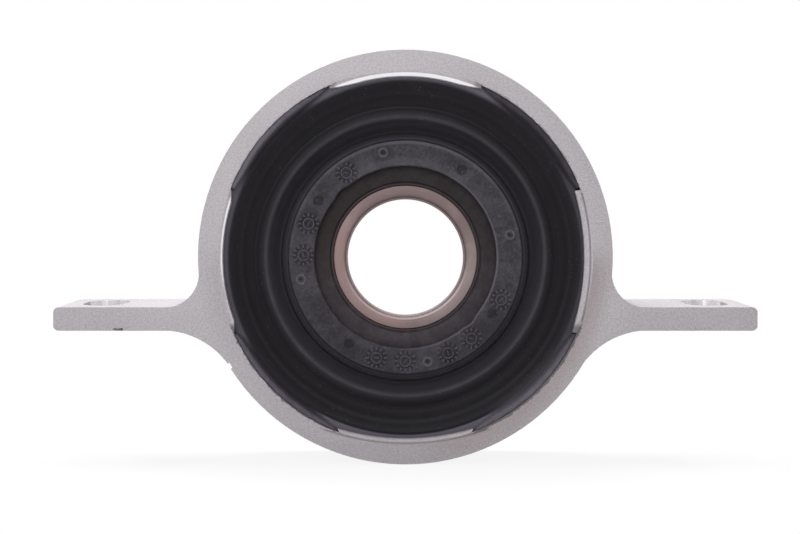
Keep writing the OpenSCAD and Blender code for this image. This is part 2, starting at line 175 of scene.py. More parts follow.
# %% [markdown]
# ## Two lips pressed round
#
# All four lips leave the CAD model as flat arcs. On the real part the right and the bottom one are
# like that, but the top and the left one follow the seat and keep their reach right to their ends.
# New lips could be built for them, but moving the points that are there keeps their bevels. So the
# points of those two are drawn in towards the shaft: not at all at the seat, and at the edge by as
# much as the flat arc falls short of the round one.

# %% Draw the edges of two lips in
SEAT_R = 46.3
LIP_FRONT_PART = -11.5
LIP_END_FADE = 3.5
LEAST_REACH = 0.05
# For each lip: radius of the flat arc at its middle, radius of the round edge, first and last angle
ROUND_LIPS = {90: (44.8, 44.78, -22.5, 22.5), 180: (45.35, 45.2, -21.0, 25.0)}


def rise(value):
    """A smooth step from 0 to 1."""
    t = min(1.0, max(0.0, value))
    return t * t * (3 - 2 * t)


def turn_from(middle, angle):
    """The turn from one angle to another, between -180 and 180 degrees."""
    return (angle - middle + 180) % 360 - 180


drawn_in = 0
for point in metal.verts:
    radius, angle = around_shaft(point.co)
    lip = nearest_lip(angle)
    if lip not in ROUND_LIPS or radius > SEAT_R or point.co.y / MM > LIP_FRONT_PART:
        continue
    flat_r, round_r, first, last = ROUND_LIPS[lip]
    off = turn_from(lip, angle)
    aside = LIP_CENTRE * math.sin(math.radians(off))
    behind = LIP_CENTRE * math.cos(math.radians(off))
    edge_r = math.sqrt((LIP_CENTRE + flat_r) ** 2 - aside**2) - behind
    between_ends = rise((off - first) / LIP_END_FADE) * rise((last - off) / LIP_END_FADE)
    share = between_ends * min(1.0, (SEAT_R - radius) / max(SEAT_R - edge_r, LEAST_REACH))
    factor = 1 - share * (edge_r - round_r) / radius
    point.co.x *= factor
    point.co.z *= factor
    drawn_in += share > 0
print("lip points drawn in:", drawn_in)

casting = put_in_scene(metal, "bracket_casting", crisp_angle=40)
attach(casting, "bracket")
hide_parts("bracket")

# %% [markdown]
# ## Turned pieces
#
# The rubber, the rings and the seals all have one section all the way round, so each is a section
# turned about the shaft. A section is a loop of corners, given as radius and place along the shaft,
# and each corner has its own rounding. A single face filled into the loop lets the bevel operator
# round the corners. Then the face goes and the spin operator turns the loop. A spin through a full
# circle in fine steps is slow, so it turns a quarter, which is set four times around the shaft, and
# the quarters' edges are merged so that no seam is left.

# %% Turn a section about the shaft
BROAD_ROUNDING = 0.45
SEAM_WELD = 0.001
RING_STEPS = 160


def section_loop(bm, corners):
    """Draws corners of (radius, place, rounding) in millimetres as a closed loop of edges."""
    points = [bm.verts.new((radius * MM, place * MM, 0)) for radius, place, _ in corners]
    bm.faces.new(points)
    for point, (_, _, rounding) in zip(points, corners):
        if rounding:
            bmesh.ops.bevel(
                bm, geom=[point], offset=rounding * MM, offset_type="OFFSET", affect="VERTICES",
                segments=4 if rounding > BROAD_ROUNDING else 3, profile=0.5, material=-1,
            )
    bmesh.ops.delete(bm, geom=bm.faces[:], context="FACES_ONLY")


def turn_loop(bm, steps):
    """Turns the loop of edges through a quarter and sets three more quarters beside it."""
    bmesh.ops.spin(
        bm, geom=bm.verts[:] + bm.edges[:], cent=(0, 0, 0), axis=SHAFT_AXIS, dvec=(0, 0, 0),
        angle=math.pi / 2, steps=steps // 4, use_merge=False, use_duplicate=False,
    )
    quarter = bm.verts[:] + bm.edges[:] + bm.faces[:]
    for count in (1, 2, 3):
        copy = bmesh.ops.duplicate(bm, geom=quarter)["geom"]
        turn = Matrix.Rotation(count * math.pi / 2, 3, SHAFT_AXIS)
        points = [part for part in copy if isinstance(part, bmesh.types.BMVert)]
        bmesh.ops.rotate(bm, verts=points, cent=(0, 0, 0), matrix=turn)
    bmesh.ops.remove_doubles(bm, verts=bm.verts, dist=SEAM_WELD * MM)
    bmesh.ops.recalc_face_normals(bm, faces=bm.faces)


def turned(name, corners):
    """A turned piece from its section."""
    bm = bmesh.new()
    section_loop(bm, corners)
    turn_loop(bm, RING_STEPS)
    return put_in_scene(bm, name, crisp_angle=35)


# %% [markdown]
# ## The rubber bush
#
# The bush is moulded in one piece around the bearing's carrier. From the shaft outwards it has a flat
# face, a narrow shelf, a deep channel, a broad bellows crest with a thin groove beyond it, and a skirt
# that climbs over a faint ridge to the rim. The rim lies behind the four lips of the casting. Rings
# for each fold could be joined, but the real rubber flows from one into the next, so all of it is one
# turned section, drawn with half waves between the folds.

# %% The section of the bush
OPENING_R, FACE_R = 22.85, 29.25
FACE_AT, FACE_BACK = -9.0, -7.75
RIM_IN_R, RIM_OUT_R = 43.45, 46.28
RIM_FRONT, RIM_BACK = -12.6, 10.8
SLEEVE_IN_R, SLEEVE_OUT_R = 28.76, 30.05
SLEEVE_FRONT, SLEEVE_BACK = -2.0, 6.5


def half_wave(start, end, count):
    """Corners from start towards end on half a cosine wave, level at both ends."""
    corners = []
    for i in range(count):
        t = i / count
        radius = start[0] + (end[0] - start[0]) * t
        place = start[1] + (end[1] - start[1]) * (1 - math.cos(math.pi * t)) / 2
        corners.append((radius, place, 0))
    return corners


flat_face = [(OPENING_R, FACE_BACK, 0), (OPENING_R, FACE_AT, 0.3), (FACE_R, FACE_AT, 0.15)]
shelf = [(FACE_R, -8.3, 0.1), (29.6, -7.9, 0.1), (30.2, -8.0, 0.2)]
shelf_end, channel, crest = (30.45, -7.5), (31.63, -4.8), (35.15, -9.4)
bellows = half_wave(shelf_end, channel, 8) + half_wave(channel, crest, 12) + [(*crest, 0.3)]
groove = [(36.6, -9.2, 0.35), (37.5, -8.8, 0.25), (37.8, -8.8, 0.15), (38.35, -9.2, 0.3)]
skirt = [(39.5, -9.8, 0.7), (40.65, -10.9, 0.4), (41.5, -11.1, 0.5)]
rim = [(RIM_IN_R, RIM_FRONT, 0), (RIM_OUT_R, RIM_FRONT, 0.25)]
rim += [(RIM_OUT_R, RIM_BACK, 0.4), (43.3, RIM_BACK, 0.4)]
back_skirt, back_crest, back_channel = (37.3, -6.0), (35.89, -6.8), (32.93, -2.2)
back = [(41.35, -8.2, 1.0)] + half_wave(back_skirt, back_crest, 6)
back += half_wave(back_crest, back_channel, 8) + [(*back_channel, 0.5)]
sleeve = [(SLEEVE_OUT_R, SLEEVE_FRONT, 0.4), (SLEEVE_OUT_R, SLEEVE_BACK, 0.4)]
sleeve += [(SLEEVE_IN_R, SLEEVE_BACK, 0), (SLEEVE_IN_R, FACE_BACK, 0)]

rubber = bmesh.new()
section_loop(rubber, flat_face + shelf + bellows + groove + skirt + rim + back + sleeve)
print("edges in the section:", len(rubber.edges))

# %% [markdown]
# ## Fine enough for marks
#
# Marks are pressed into the flat face and tabs are lifted out of the rim later on. Both need many
# points, which the folds don't. Dividing the whole mesh would cost far more, so only those two edges
# of the section are divided, before the spin.

# %% Divide the flat stretches and turn the section
BUSH_STEPS = 540
FACE_CUTS, RIM_CUTS = 34, 17
LEVEL_WITHIN = 0.01


def divide_flat(place, cuts):
    """Divides the section's edge that lies level at a place along the shaft."""
    level = [
        edge for edge in rubber.edges
        if all(abs(end.co.y - place * MM) < LEVEL_WITHIN * MM for end in edge.verts)
    ]
    bmesh.ops.subdivide_edges(rubber, edges=level, cuts=cuts)
    return len(level)


print("flat edges divided:", divide_flat(FACE_AT, FACE_CUTS), divide_flat(RIM_FRONT, RIM_CUTS))
turn_loop(rubber, BUSH_STEPS)
print("bush points:", len(rubber.verts))

# %% [markdown]
# ## Notches between the lips
#
# The casting has four notches between its lips, and the rubber fills them almost to the front, as four
# tabs. Separate tabs would show a seam, so the rim itself is lifted there, and first one function
# tells how far inside a notch a point lies. Each notch is steep at its end near the level line and
# runs out gently at the other end. Farther in than the lips, a tab's ends fade into the skirt.

# %% Tell the notches from the lips
NOTCH_HALF = 22.4
RUN_OUT_R = 2.0
STEEP_END, GENTLE_END, SOFT_END = 0.6, 3.2, 7.0
LIP_END_R = 45.6
# For each notch: angle of its middle, and which way round its steep end is
NOTCHES = [(43.5, -1), (136.5, 1), (226.5, -1), (-46.5, 1)]


def notch_share(angle, radius):
    """How far inside a notch a point lies, 0 under a lip and 1 in a tab, and which notch it is."""
    inward = (SEAT_R - radius) / RUN_OUT_R
    ramp = STEEP_END + SOFT_END * max(0.0, LIP_END_R - radius)
    for tab, (middle, toward_level) in enumerate(NOTCHES):
        off = turn_from(middle, angle) * toward_level
        to_level = NOTCH_HALF - STEEP_END * inward - off
        to_end = NOTCH_HALF - GENTLE_END * inward + off
        share = min(rise(to_level / ramp), rise(to_end / ramp))
        if share > 0:
            return share, tab
    return 0.0, 0


in_notches = sum(notch_share(angle, SEAT_R)[0] > 0.5 for angle in range(360))
print("degrees of the seat that are notch:", in_notches)

# %% [markdown]
# ## Tabs and a painted sheen on the rim
#
# The rim is lifted in the notches on a short slope, and its edge gets a little uneven flash, as rubber
# that was squeezed into a mould has. The tabs and the rim behind each lip are painted grey, as a painted
# sheen where light falls on them. Each tab gets it in its own way, some more towards one end, and so
# does the rim behind each lip. Each point keeps a number for that, because the places follow the lips
# and tabs, which a noise would not.

# %% Paint a sheen on the rim and lift the tabs
SHEEN_FROM_R, SHEEN_FULL_R = 41.0, 46.0
RIM_ZONE_AT = -10.5
TAB_LIFT = 2.0
TAB_FOOT_R, TAB_SLOPE, FOOT_FADE = 43.7, 1.6, 0.4
FLASH, FLASH_GRAIN = 0.35, 700
FLASH_R, FLASH_FADE = 44.9, 0.4
# For each tab: strength, radius where it starts, strength at the foot, lean towards one end
TAB_SHEEN = [
    (0.22, 44.2, 0.13, 0.0), (1.15, 44.0, 0.07, 0.5), (0.8, 43.8, 0.08, 0.0), (1.25, 42.8, 0.04, -0.4),
]
# For the rim behind each lip: strength, radius where it starts, width of its fade
RIM_SHEEN = {
    0: (0.4, 43.3, 0.8), 90: (1.1, 43.55, 1.2), 180: (0.65, 43.7, 0.8), 270: (1.35, 44.0, 0.4),
}


def rim_sheen(angle, radius, share, tab):
    """How much painted sheen greys the rim, on a tab or behind a lip."""
    lip_strength, lip_start_r, lip_fade = RIM_SHEEN[nearest_lip(angle)]
    behind_lip = lip_strength * rise((radius - lip_start_r) / lip_fade)
    strength, start_r, foot, lean = TAB_SHEEN[tab]
    along_tab = turn_from(NOTCHES[tab][0], angle) / NOTCH_HALF
    on_tab = strength * (1 + lean * along_tab) * rise((radius - start_r) / (SHEEN_FULL_R - start_r))
    on_tab += foot * rise((radius - TAB_FOOT_R) / FOOT_FADE)
    return behind_lip + share * (on_tab - behind_lip)


# Painted sheen on the rim and the tabs, kept for each point
painted_sheen = rubber.verts.layers.float.new("painted_sheen")
lifted = 0
for point in rubber.verts:
    radius, angle = around_shaft(point.co)
    if radius < SHEEN_FROM_R or point.co.y / MM > RIM_ZONE_AT:
        continue
    share, tab = notch_share(angle, radius)
    point[painted_sheen] = rim_sheen(angle, radius, share, tab)
    if radius < RIM_IN_R - LEVEL_WITHIN:
        continue
    flash = FLASH * noise.noise(point.co * FLASH_GRAIN) * rise((radius - FLASH_R) / FLASH_FADE)
    climb = rise((radius - TAB_FOOT_R) / TAB_SLOPE)
    point.co.y -= share * (TAB_LIFT * climb + flash) * MM
    lifted += share > 0.5
print("rim points lifted into tabs:", lifted)

# %% [markdown]
# ## Pin marks
#
# Eight round pins of the mould have left marks on the flat face. Every other one left a ring with a pit
# in it, and the rest left a plain dent. They could be cut with booleans, but they are soft in rubber.
# So a mark is a height that is added to the finely divided face later, which keeps the bush one
# closed shape.

# %% The heights of the pin marks
RING_CIRCLE_R, DENT_CIRCLE_R = 26.8, 26.0
FIRST_RING, FIRST_DENT = 12, 57
PIN_REACH = 2.2
RING_R, RING_W, RING_RISE = 1.02, 0.36, 0.24
PIT_W, PIT_SINK = 0.4, 0.3
DENT_FLOOR_R, DENT_SLOPE, DENT_SINK = 0.9, 0.7, 0.28


def spot(angle, radius):
    """The middle of a mark on the face, in millimetres."""
    turn = math.radians(angle)
    return radius * math.cos(turn), radius * math.sin(turn)


def ridge(distance, width):
    """A rounded ridge of height 1 around distance 0."""
    return math.exp(-((distance / width) ** 2))


def ring_height(x, z):
    """A raised ring with a pit in its middle."""
    away = math.hypot(x, z)
    if away > PIN_REACH:
        return 0.0
    return RING_RISE * ridge(away - RING_R, RING_W) - PIT_SINK * ridge(away, PIT_W)


def dent_height(x, z):
    """A plain round dent."""
    return DENT_SINK * (rise((math.hypot(x, z) - DENT_FLOOR_R) / DENT_SLOPE) - 1)


RINGS = [spot(FIRST_RING + 90 * i, RING_CIRCLE_R) for i in range(4)]
DENTS = [spot(FIRST_DENT + 90 * i, DENT_CIRCLE_R) for i in range(4)]
print("pin marks:", len(RINGS), "rings and", len(DENTS), "dents")

# %% [markdown]
# ## Tick wheels
#
# Eight small wheels show on the face too. A wheel is a sunk disc with a raised ring, ticks around it
# and a short bar in it. Twelve ticks could be set one by one, but the angle around the wheel's middle
# tells how far the nearest tick is, so one line draws them all.

# %% The heights of the tick wheels
# For each wheel: angle and distance from the shaft
WHEELS = [
    (125, 25.8), (161, 25.7), (179, 25.6), (254, 26.3),
    (270, 26.1), (294, 26.3), (309, 26.3), (336, 26.3),
]
WHEEL_R, WHEEL_SLOPE, WHEEL_SINK = 2.9, 0.25, 0.18
WHEEL_RING_R, WHEEL_RING_W, WHEEL_RING_RISE = 1.3, 0.25, 0.5
TICK_COUNT, TICK_IN_R, TICK_OUT_R, TICK_HALF_W, TICK_RISE = 12, 1.7, 2.85, 0.275, 0.55
BAR_HALF, BAR_HALF_W, BAR_RISE = 0.7, 0.25, 0.45
MARK_FADE = 0.2


def wheel_height(x, z, bar_turn):
    """A sunk disc with a raised ring, ticks around it and a short bar across its middle."""
    away = math.hypot(x, z)
    if away > WHEEL_R:
        return 0.0
    turn = math.atan2(z, x)
    ticks = turn * TICK_COUNT / (2 * math.pi)
    beside_tick = abs(ticks - round(ticks)) * 2 * math.pi / TICK_COUNT * away
    along_tick = rise((away - TICK_IN_R) / MARK_FADE) * rise((TICK_OUT_R - away) / MARK_FADE)
    along_bar = 1 - rise((abs(away * math.cos(turn - bar_turn)) - BAR_HALF) / MARK_FADE)
    height = WHEEL_RING_RISE * ridge(away - WHEEL_RING_R, WHEEL_RING_W)
    height += TICK_RISE * along_tick * ridge(beside_tick, TICK_HALF_W)
    height += BAR_RISE * along_bar * ridge(away * math.sin(turn - bar_turn), BAR_HALF_W)
    return height - WHEEL_SINK * rise((WHEEL_R - away) / WHEEL_SLOPE)


WHEEL_SPOTS = [spot(*wheel) for wheel in WHEELS]


def mark_height(x, z):
    """Height of all the marks above the flat face. Each wheel's bar is turned one radian on."""
    height = sum(ring_height(x - ring_x, z - ring_z) for ring_x, ring_z in RINGS)
    height += sum(dent_height(x - dent_x, z - dent_z) for dent_x, dent_z in DENTS)
    for bar_turn, (wheel_x, wheel_z) in enumerate(WHEEL_SPOTS):
        height += wheel_height(x - wheel_x, z - wheel_z, bar_turn)
    return height


print("tick wheels:", len(WHEEL_SPOTS))

# %% [markdown]
# ## The flat face and its opening
#
# The face is painted greyer at its upper outer edge and above and below the opening, and the opening's
# edge is painted greyer most on its right, all as painted highlights. That edge also has four shallow
# notches, two of them hardly to be seen. The painted highlight is a number again, and the notches are
# small moves outwards that fade away from the edge, because cutting them would break the even rows of
# points.

# %% The face's painted highlights and its notched opening
FACE_EDGE_HIGHLIGHT, FACE_EDGE_HIGHLIGHT_R, EDGE_FADE = 0.5, 28.2, 0.4
HIGHLIGHT_ABOVE, HIGHLIGHT_BELOW = 0.3, 0.15
BAND_R, BAND_FADE = 24.0, 2.0
OPENING_HIGHLIGHT, OPENING_HIGHLIGHT_AT = 0.9, -15
OPENING_EDGE_W, OPENING_FADE = 0.25, 0.4
BITE_DEPTHS = (0.05, 0.4, 0.05, 0.4)
BITE_HALF, BITE_FADE = 5.5, 2.0


def face_highlight(upward, radius):
    """How much painted highlight the flat face gets, from a point's direction, 1 straight up and -1
    down.
    """
    edge_highlight = FACE_EDGE_HIGHLIGHT * rise((radius - FACE_EDGE_HIGHLIGHT_R) / EDGE_FADE) * max(0.0, upward)
    band = (HIGHLIGHT_ABOVE if upward > 0 else HIGHLIGHT_BELOW) * upward**2
    return edge_highlight + band * (1 - rise((radius - BAND_R) / BAND_FADE))


def opening_highlight(angle, radius):
    """How much painted highlight the opening's edge gets."""
    toward = max(0.0, math.cos(math.radians(angle - OPENING_HIGHLIGHT_AT)))
    beyond_edge = radius - OPENING_R - OPENING_EDGE_W
    return OPENING_HIGHLIGHT * toward * (1 - rise(beyond_edge / OPENING_FADE))


def opening_bite(angle, radius):
    """How far a notch in the opening's edge moves a point outwards, in millimetres."""
    quarter, turned_on = divmod(angle % 360, 90)
    notch = max(0.0, 1 - ((turned_on - 45) / BITE_HALF) ** 2)
    return BITE_DEPTHS[int(quarter)] * notch * (1 - rise((radius - OPENING_R) / BITE_FADE))


print("notches in the opening's edge:", BITE_DEPTHS)

# %% [markdown]
# ## One pass over the face
#
# Now all of it is laid on in a single pass over the face's points: a height for the marks, a number for
# the painted highlight and a move for the notches. The height is kept as a number too, so that the
# finish can paint raised marks paler, as wear and painted highlight, and sunk ones darker, as painted
# shade. Then the bush is one finished piece.

# %% Press the marks in and paint the face's highlights
FACE_ZONE_AT = -7.7
ON_FACE_WITHIN, RAISED = 0.02, 0.05

mark = rubber.verts.layers.float.new("mark")
marked = 0
for point in rubber.verts:
    radius, angle = around_shaft(point.co)
    if radius > FACE_R or point.co.y / MM > FACE_ZONE_AT:
        continue
    if abs(point.co.y / MM - FACE_AT) < ON_FACE_WITHIN:
        height = mark_height(point.co.x / MM, point.co.z / MM)
        point[mark] = height
        # Painted highlights on the face, kept for each point
        point[painted_sheen] = face_highlight(math.sin(math.radians(angle)), radius)
        point.co.y -= height * MM
        marked += height > RAISED
    # A painted highlight along the opening's edge
    point[painted_sheen] += opening_highlight(angle, radius)
    outward = 1 + opening_bite(angle, radius) / radius
    point.co.x *= outward
    point.co.z *= outward
print("points in raised marks:", marked)

bush = put_in_scene(rubber, "rubber_bush_moulding", crisp_angle=38)
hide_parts("rubber_bush")

# %% [markdown]
# ## How the bush would give
#
# The bearing floats along the shaft in its rubber. The rim would stay with the bracket and the flat face
# go with the bearing, with the folds between them sharing the motion. Here each point's share is only
# worked out from its radius and counted; the mesh itself doesn't move.

# %% Work out each point's share of the motion by radius
HELD_R, CARRIED_R = 43.4, 29.6
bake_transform(bush)
radii = [around_shaft(point.co)[0] for point in bush.data.vertices]
shares = [rise((HELD_R - radius) / (HELD_R - CARRIED_R)) for radius in radii]
print("bush points that go with the bearing:", sum(share == 1 for share in shares))

# %% [markdown]
# ## The inner ring
#
# Inside the rubber is a sealed deep-groove bearing. Its inner ring shows a narrow ground face with a
# well rounded edge at the bore. The raceway could be left out, because the seals hide it, but the ring
# then wouldn't clear the balls. So the section steps up from the seal's land to a shoulder and dips
# into the groove. The balls, the cage and the outer ring stay as CAD solids, because they are hidden.

# %% Turn the inner ring
BEARING_HALF = 6.5
BORE_R, LAND_R, SHOULDER_R = 15.0, 18.014, 18.964
SHOULDER_AT = 4.6
RACEWAY_R, RACEWAY_CENTRE_R, RACEWAY_CORNERS = 3.715, 21.343, 9
BORE_ROUND, LAND_ROUND, SHOULDER_ROUND = 0.75, 0.14, 0.1


def raceway():
    """Corners along the raceway, from the front shoulder to the back one."""
    reach = math.sqrt(RACEWAY_R**2 - (RACEWAY_CENTRE_R - SHOULDER_R) ** 2)
    corners = []
    for i in range(RACEWAY_CORNERS):
        place = -reach + 2 * reach * i / (RACEWAY_CORNERS - 1)
        corners.append((RACEWAY_CENTRE_R - math.sqrt(RACEWAY_R**2 - place**2), place, 0))
    return corners


ring_section = [
    (BORE_R, BEARING_HALF, BORE_ROUND), (BORE_R, -BEARING_HALF, BORE_ROUND),
    (LAND_R, -BEARING_HALF, LAND_ROUND), (LAND_R, -SHOULDER_AT, 0),
    (SHOULDER_R, -SHOULDER_AT, SHOULDER_ROUND), *raceway(),
    (SHOULDER_R, SHOULDER_AT, SHOULDER_ROUND), (LAND_R, SHOULDER_AT, 0),
    (LAND_R, BEARING_HALF, LAND_ROUND),
]
inner_ring = turned("inner_ring_ground", ring_section)
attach(inner_ring, "inner_ring")
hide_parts("bearing_inner_ring")

# %% [markdown]
# ## The seals
#
# Each seal is a flat rubber disc with a groove and a thin lip that almost touches the inner ring. The
# groove is cut into the section, so that the spin makes it, and the back seal is the front one with
# its places along the shaft turned round.

# %% Turn the two seals
SEAL_OUT_R, SEAL_FACE_IN_R = 24.7, 19.064
SEAL_LIP_OUT_R, SEAL_LIP_IN_R = 18.664, 18.264
SEAL_FACE, SEAL_LIP, SEAL_GROOVE, SEAL_BACK = 6.1, 5.9, 5.5, 4.76
seals = []
for end, side in (("front", -1), ("rear", 1)):
    seal_section = [
        (SEAL_OUT_R, side * SEAL_BACK, 0), (SEAL_OUT_R, side * SEAL_FACE, 0.15),
        (SEAL_FACE_IN_R, side * SEAL_FACE, 0.15), (SEAL_FACE_IN_R, side * SEAL_GROOVE, 0.1),
        (SEAL_LIP_OUT_R, side * SEAL_GROOVE, 0.1), (SEAL_LIP_OUT_R, side * SEAL_LIP, 0.12),
        (SEAL_LIP_IN_R, side * SEAL_LIP, 0.12), (SEAL_LIP_IN_R, side * SEAL_BACK, 0),
    ]
    seal = turned("seal_disc_" + end, seal_section)
    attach(seal, "hub")
    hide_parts("seal_" + end)
    seals.append(seal)

# %% [markdown]
# ## The carrier
#
# The carrier is a cup of pressed sheet that the bearing sits in. It shows only at the back, as a rolled
# bead. A sheet could be given its thickness by a modifier, but the bead and the flange differ from the
# wall, so both sides are drawn in one section.

# %% Turn the carrier
FLANGE_R, BEAD_R, CUP_IN_R, CUP_OUT_R = 23.4, 26.4, 27.52, 28.7
CUP_HALF, BEAD_FRONT = 7.7, 6.52
carrier_section = [
    (FLANGE_R, -BEARING_HALF, 0.2), (FLANGE_R, -CUP_HALF, 0.2),
    (CUP_OUT_R, -CUP_HALF, 0.9), (CUP_OUT_R, CUP_HALF, 0.9),
    (BEAD_R, CUP_HALF, 0.45), (BEAD_R, BEAD_FRONT, 0.45),
    (CUP_IN_R, BEAD_FRONT, 0), (CUP_IN_R, -BEARING_HALF, 0),
]
carrier = turned("carrier_pressing", carrier_section)
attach(carrier, "hub")
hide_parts("bearing_carrier")

# %% [markdown]
# ## Writing shaders as sums
#
# A finish is a small tree of nodes. Wiring it by hand is long, so one class wraps a socket and lets
# plain operators add the Math nodes, also where a number stands first.

# %% A socket that can be added and multiplied
class Socket:
    """A node's output that takes part in sums."""

    def __init__(self, nodes, output):
        self.nodes = nodes
        self.output = output

    def math(self, operation, first, second):
        return self.nodes.node("ShaderNodeMath", {"operation": operation}, {0: first, 1: second})

    def __add__(self, other):
        return self.math("ADD", self, other)

    def __radd__(self, other):
        return self.math("ADD", other, self)

    def __sub__(self, other):
        return self.math("SUBTRACT", self, other)

    def __rsub__(self, other):
        return self.math("SUBTRACT", other, self)

    def __mul__(self, other):
        return self.math("MULTIPLY", self, other)

    def __rmul__(self, other):
        return self.math("MULTIPLY", other, self)


# %% [markdown]
# ## Adding nodes
#
# Every other node comes from one method, which takes its type, its settings and the values or links of
# its sockets. The settings come first, because some of them change which sockets a node has. Several
# sockets can share a name, so a socket is looked up by its identifier before its name.

# %% A tree that nodes are added to
class Nodes:
    """A tree of nodes, built up one by one."""

    def __init__(self, tree):
        self.tree = tree

    def node(self, kind, settings, sockets, output=0):
        """Adds a node and gives back one of its outputs."""
        made = self.tree.nodes.new(kind)
        for name, value in settings.items():
            setattr(made, name, value)
        self.fill(made, sockets)
        return Socket(self, self.pick(made.outputs, output))

    def pick(self, sockets, name):
        """A socket by its identifier, or else by its name or number."""
        exact = [socket for socket in sockets if socket.identifier == name]
        return exact[0] if exact else sockets[name]

    def fill(self, made, sockets):
        """Sets or links a node's inputs."""
        for name, value in sockets.items():
            socket = self.pick(made.inputs, name)
            if isinstance(value, Socket):
                self.tree.links.new(value.output, socket)
            else:
                socket.default_value = value


# %% [markdown]
# ## What a finish can ask
#
# Every finish asks the same questions of a place on the surface: how far it is from the shaft, which
# side it is on, what a noise says there, and which number the mesh keeps. So a finish is a tree of
# nodes with a method for each. It reads the object's own coordinates, which stay with the piece when
# it moves. Noises count in metres, and all measures come out in millimetres.

# %% A finish with its masks and noises
class Finish(Nodes):
    """A material with a Principled shader that reads the object's own coordinates."""

    def __init__(self, name):
        self.material = bpy.data.materials.new(name)
        self.material.use_nodes = True
        super().__init__(self.material.node_tree)
        self.shader = self.tree.nodes["Principled BSDF"]
        self.place = self.node("ShaderNodeTexCoord", {}, {}, "Object")
        self.place_mm = self.vector("MULTIPLY", self.place, (1 / MM, 1 / MM, 1 / MM))
        split = self.node("ShaderNodeSeparateXYZ", {}, {"Vector": self.place_mm})
        self.x, self.y, self.z = [Socket(self, output) for output in split.output.node.outputs]

    def vector(self, operation, first, second, output=0):
        """A Vector Math node."""
        sockets = {0: first, 1: second}
        return self.node("ShaderNodeVectorMath", {"operation": operation}, sockets, output)

    def distance(self, centre, weights=(1.0, 1.0, 1.0)):
        """Distance from a point, where each axis counts by its weight."""
        weighted_centre = [along * weight for along, weight in zip(centre, weights)]
        weighted_place = self.vector("MULTIPLY", self.place_mm, weights)
        return self.vector("DISTANCE", weighted_place, weighted_centre, "Value")

    def radius(self, x=0.0, z=0.0):
        """Distance from the shaft's axis, or from a line beside it."""
        return self.distance((x, 0.0, z), (1.0, 0.0, 1.0))

    def size(self, value):
        """A value without its sign."""
        return self.node("ShaderNodeMath", {"operation": "ABSOLUTE"}, {0: value})

    def step(self, value, low, high):
        """A smooth step of a value, 0 below low and 1 above high."""
        settings = {"interpolation_type": "SMOOTHSTEP"}
        sockets = {"Value": value, "From Min": low, "From Max": high}
        return self.node("ShaderNodeMapRange", settings, sockets)

    def fall(self, value, low, high):
        """The other way round, 1 below low and 0 above high."""
        return 1 - self.step(value, low, high)

    def band(self, value, low, full_from, full_to, high):
        """1 from full_from to full_to, and 0 below low and above high."""
        return self.step(value, low, full_from) - self.step(value, full_to, high)

    def noise(self, scale, detail, roughness, at=None):
        """A noise with its scale in ripples per metre, or per unit of the place that is given."""
        sockets = {"Vector": at or self.place, "Scale": scale, "Detail": detail, "Roughness": roughness}
        return self.node("ShaderNodeTexNoise", {}, sockets)

    def kept(self, name):
        """A number that the mesh keeps for each face or point."""
        return self.node("ShaderNodeAttribute", {"attribute_name": name}, {}, "Fac")

    def mix(self, factor, first, second):
        """A colour between two others."""
        settings = {"data_type": "RGBA", "clamp_factor": True}
        sockets = {"Factor_Float": factor, "A_Color": first, "B_Color": second}
        return self.node("ShaderNodeMix", settings, sockets, "Result_Color")

    def bump(self, height, strength, depth):
        """A normal that follows a height, with its depth in millimetres."""
        sockets = {"Strength": strength, "Distance": depth * MM, "Height": height}
        return self.node("ShaderNodeBump", {}, sockets)

    def paint(self, piece):
        """Gives a piece this finish and no other."""
        piece.data.materials.clear()
        piece.data.materials.append(self.material)


def rgb(red, green, blue):
    """An opaque colour."""
    return (red, green, blue, 1.0)


# %% [markdown]
# ## Blasted cast alloy
#
# A die casting that has been blasted is matt grey with a faint warm tint, and it has a fine grain of
# tiny bright and dark pits. Under the grain lie soft cloudy patches from the mould. A picture of
# metal would repeat, so three noises at three sizes give that, and the finer two also drive the bump.

# %% The alloy's grain
BLASTED_DARK, BLASTED_LIGHT = rgb(0.325, 0.302, 0.322), rgb(0.52, 0.487, 0.512)

alloy = Finish("cast_alloy_blasted")
grain = alloy.noise(3000, 2.0, 0.7)
pits = alloy.noise(1400, 3.0, 0.6)
clouds = alloy.noise(60, 2.0, 0.5)
alloy_tone = alloy.step(grain * 0.65 + pits * 0.25 + clouds * 0.1, 0.34, 0.66)
blasted = alloy.mix(alloy_tone, BLASTED_DARK, BLASTED_LIGHT)
print("alloy nodes for the grain:", len(alloy.tree.nodes))

# %% [markdown]
# ## Painted highlights, darker places and a scratch
#
# The number on each face says where the metal gets painted light and where it is painted darker. The
# roots of the lips stay dull, and so does the lower half of the left lip. One short scratch with a chip
# at its end, near the end of the left wing, is darker than the rest. It is too small to model, so it is
# what lies near one point. Along the wing a distance counts only a quarter, which makes the spot long,
# and the pits make its outline uneven.

# %% Paint light on the alloy and scratch it
PAINTED_LIGHT_METAL, DARKENED_METAL = rgb(0.88, 0.86, 0.88), rgb(0.16, 0.14, 0.135)
CHIP_AT, SCRATCH_AT = (-70.0, -15.0, -17.7), (-70.8, -15.0, -17.9)
SCRATCH_WEIGHTS = (0.25, 1.0, 1.0)

from_shaft = alloy.radius()
lip_root = alloy.band(from_shaft, 45.5, 45.7, 46.3, 46.4)
left_lip = alloy.band(alloy.x, -48, -47, -40, -35)
left_low = alloy.fall(alloy.z, -10, 0) * left_lip
kept_light = alloy.kept("painted_light")
